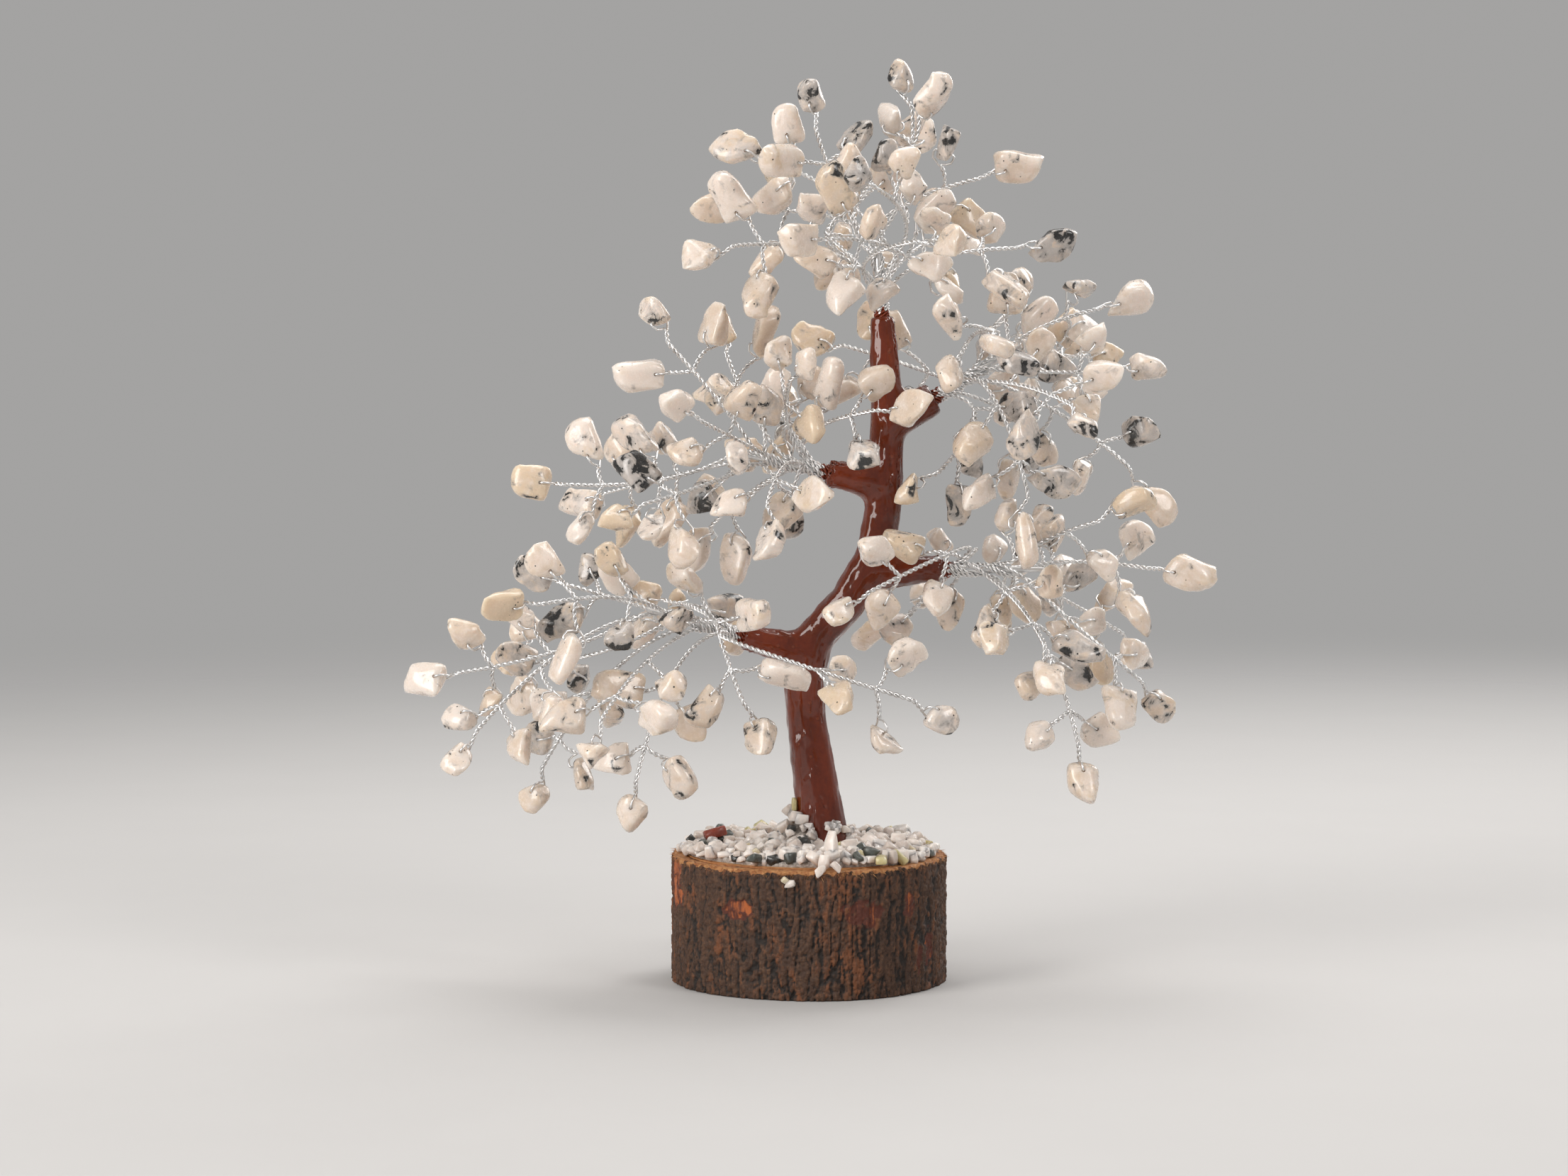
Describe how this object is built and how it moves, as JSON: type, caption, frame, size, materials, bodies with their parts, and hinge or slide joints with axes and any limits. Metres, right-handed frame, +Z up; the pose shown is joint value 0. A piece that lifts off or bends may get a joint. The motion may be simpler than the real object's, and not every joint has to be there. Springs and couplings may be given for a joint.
{
  "type": "gemstone tree ornament",
  "caption": "Ornamental wire tree: drilled moonstone chips on twisted sprigs, bendable boughs from a crooked lacquered trunk, standing on a gravel-topped slice of log.",
  "frame": {"origin": "middle of the log's flat underside", "axes": "+Z up along the trunk, +X to the viewer's right, -Y towards the viewer"},
  "size_m": [0.2436, 0.1208, 0.2749],
  "materials": {
    "sawn_wood": "rough sawn",
    "bark": "furrowed",
    "lacquer": "glossy red-brown lacquer",
    "wire": "bright twisted wire",
    "glue": "clear glue full of grit",
    "white_gravel": "broken quartz",
    "dark_gravel": "broken stone",
    "amber_gravel": "broken stone",
    "milky_moonstone": "tumbled",
    "flecked_moonstone": "tumbled, black inclusions",
    "honey_moonstone": "tumbled"
  },
  "bodies": {
    "base": {"log_core": "sawn_wood", "bark": "bark", "trunk_core": "wire", "trunk_coat": "lacquer", "glue_bed": "glue", "gravel_white": "white_gravel", "gravel_dark": "dark_gravel", "gravel_amber": "amber_gravel"},
    "crown_bough": {"crown_bundle": "wire", "crown_stems": "wire", "crown_twigs": "wire", "crown_chips_milky": "milky_moonstone", "crown_chips_flecked": "flecked_moonstone", "crown_chips_honey": "honey_moonstone"},
    "upper_right_bough": {"upper_right_bundle": "wire", "upper_right_stems": "wire", "upper_right_twigs": "wire", "upper_right_chips_milky": "milky_moonstone", "upper_right_chips_flecked": "flecked_moonstone", "upper_right_chips_honey": "honey_moonstone"},
    "upper_left_bough": {"upper_left_bundle": "wire", "upper_left_stems": "wire", "upper_left_twigs": "wire", "upper_left_chips_milky": "milky_moonstone", "upper_left_chips_flecked": "flecked_moonstone", "upper_left_chips_honey": "honey_moonstone"},
    "lower_left_bough": {"lower_left_bundle": "wire", "lower_left_stems": "wire", "lower_left_twigs": "wire", "lower_left_chips_milky": "milky_moonstone", "lower_left_chips_flecked": "flecked_moonstone", "lower_left_chips_honey": "honey_moonstone"},
    "lower_right_bough": {"lower_right_bundle": "wire", "lower_right_stems": "wire", "lower_right_twigs": "wire", "lower_right_chips_milky": "milky_moonstone", "lower_right_chips_flecked": "flecked_moonstone", "lower_right_chips_honey": "honey_moonstone"}
  },
  "joints": [
    {"name": "crown_bend", "type": "hinge", "parent": "base", "child": "crown_bough", "pos_m": [0.02198, -0.00001, 0.19872], "axis": [1, 0, 0], "range_deg": [-6, 6]},
    {"name": "upper_right_bend", "type": "hinge", "parent": "base", "child": "upper_right_bough", "pos_m": [0.03749, 0.00151, 0.17431], "axis": [0, -1, 0], "range_deg": [-2, 6]},
    {"name": "upper_left_bend", "type": "hinge", "parent": "base", "child": "upper_left_bough", "pos_m": [0.00578, -0.00153, 0.15225], "axis": [0, 1, 0], "range_deg": [-2, 6]},
    {"name": "lower_left_bend", "type": "hinge", "parent": "base", "child": "lower_left_bough", "pos_m": [-0.01941, -0.00304, 0.10346], "axis": [0, 1, 0], "range_deg": [-8, 2]},
    {"name": "lower_right_bend", "type": "hinge", "parent": "base", "child": "lower_right_bough", "pos_m": [0.04042, -0.00252, 0.1233], "axis": [0, -1, 0], "range_deg": [-8, 2]}
  ]
}
